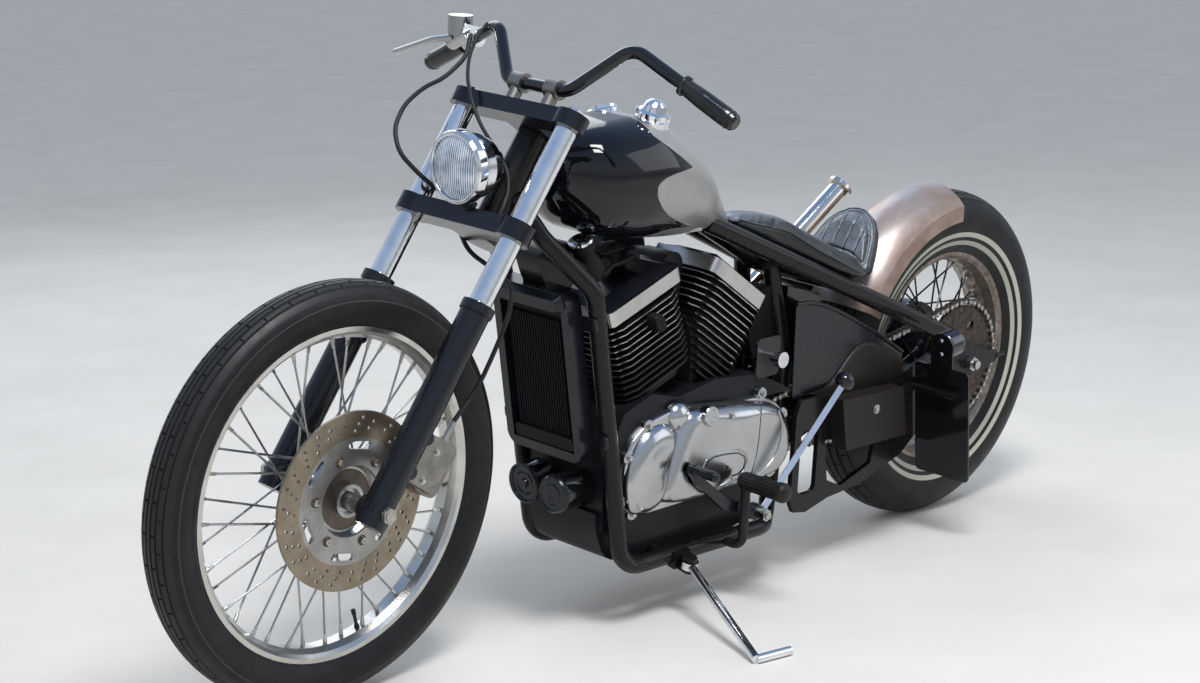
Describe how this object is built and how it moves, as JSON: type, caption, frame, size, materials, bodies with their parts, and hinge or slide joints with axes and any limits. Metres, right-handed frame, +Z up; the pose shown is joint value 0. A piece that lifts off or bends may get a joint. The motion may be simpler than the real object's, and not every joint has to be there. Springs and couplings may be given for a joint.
{
  "type": "chopper motorcycle",
  "caption": "Low chopper motorcycle with a long raked fork, finned V engine, chain drive, solo seat and a short side stand, parked leaning on it.",
  "frame": {"origin": "on the ground under the middle of the overall box", "axes": "+X forward, +Y to the rider's left, +Z up; the machine leans 5 degrees towards +Y onto its side stand"},
  "size_m": [2.292, 0.7594, 1.0884],
  "materials": {
    "tyre_rubber": "matt, white ring on the walls",
    "rim_steel": "worn plate",
    "rear_steel": "rusty grey",
    "hub_black": "satin",
    "disc_bronze": "rubbed, tan",
    "chain_steel": "oily, brown",
    "axle_steel": "bare",
    "fork_alloy": "cast",
    "fork_chrome": "hard plate",
    "clamp_black": "satin",
    "bar_black": "satin",
    "riser_alloy": "cast",
    "grip_rubber": "ribbed",
    "frame_black": "worn gloss",
    "engine_black": "black, heat stained",
    "head_alloy": "polished",
    "radiator_black": "matt",
    "pipe_steel": "heat tinted",
    "tank_paint": "gloss black with silver panel",
    "cap_chrome": "bright",
    "seat_leather": "quilted",
    "pan_steel": "satin",
    "fender_steel": "bare, brown stained",
    "lever_steel": "rubbed"
  },
  "bodies": {
    "frame": {"main_frame": "frame_black", "rear_frame": "frame_black", "crankcase": "engine_black", "front_cylinder": "engine_black", "rear_cylinder": "engine_black", "head_covers": "head_alloy", "left_cover": "head_alloy", "right_cover": "head_alloy", "carburettor": "head_alloy", "radiator": "radiator_black", "radiator_cowl": "radiator_black", "oil_filter": "radiator_black", "horn": "radiator_black", "exhaust": "pipe_steel", "fuel_tank": "tank_paint", "tank_caps": "cap_chrome", "seat": "seat_leather", "seat_pan": "pan_steel", "rear_fender": "fender_steel", "tail_lamp": "pan_steel", "plate_bracket": "pan_steel", "side_box": "pan_steel", "key_switch": "cap_chrome", "battery_box": "pan_steel", "foot_pegs": "grip_rubber", "pedals": "frame_black", "shift_lever": "lever_steel", "stand_bracket": "axle_steel", "chain": "chain_steel", "rear_axle": "axle_steel", "brake_plate": "hub_black"},
    "steering": {"lower_clamp": "clamp_black", "upper_clamp": "clamp_black", "stanchions": "fork_chrome", "fork_legs": "clamp_black", "front_axle": "axle_steel", "headlamp": "clamp_black", "lamp_bracket": "clamp_black", "risers": "riser_alloy", "handlebar": "bar_black", "grips": "grip_rubber", "brake_lever": "bar_black", "caliper": "fork_alloy", "brake_hose": "grip_rubber", "throttle_cable": "grip_rubber"},
    "front_wheel": {"front_tyre": "tyre_rubber", "front_rim": "rim_steel", "front_hub": "rim_steel", "brake_disc": "disc_bronze"},
    "rear_wheel": {"rear_tyre": "tyre_rubber", "rear_rim": "rear_steel", "rear_hub": "hub_black", "rear_sprocket": "chain_steel"},
    "side_stand": {"side_stand": "lever_steel"}
  },
  "joints": [
    {"name": "steering_turn", "type": "hinge", "parent": "frame", "child": "steering", "pos_m": [0.41289, -0.00378, 0.81607], "axis": [-0.5592, 0.0723, 0.8259], "range_deg": [-35, 35]},
    {"name": "front_wheel_spin", "type": "hinge", "parent": "steering", "child": "front_wheel", "pos_m": [0.794, -0.04446, 0.35118], "axis": [0, 0.9962, -0.0872], "continuous": true},
    {"name": "rear_wheel_spin", "type": "hinge", "parent": "frame", "child": "rear_wheel", "pos_m": [-0.806, -0.0455, 0.33923], "axis": [0, 0.9962, -0.0872], "continuous": true},
    {"name": "side_stand_fold", "type": "hinge", "parent": "frame", "child": "side_stand", "pos_m": [0.062, 0.08371, 0.09504], "axis": [0.0354, 0.2895, 0.9565], "range_deg": [0, 100]}
  ]
}
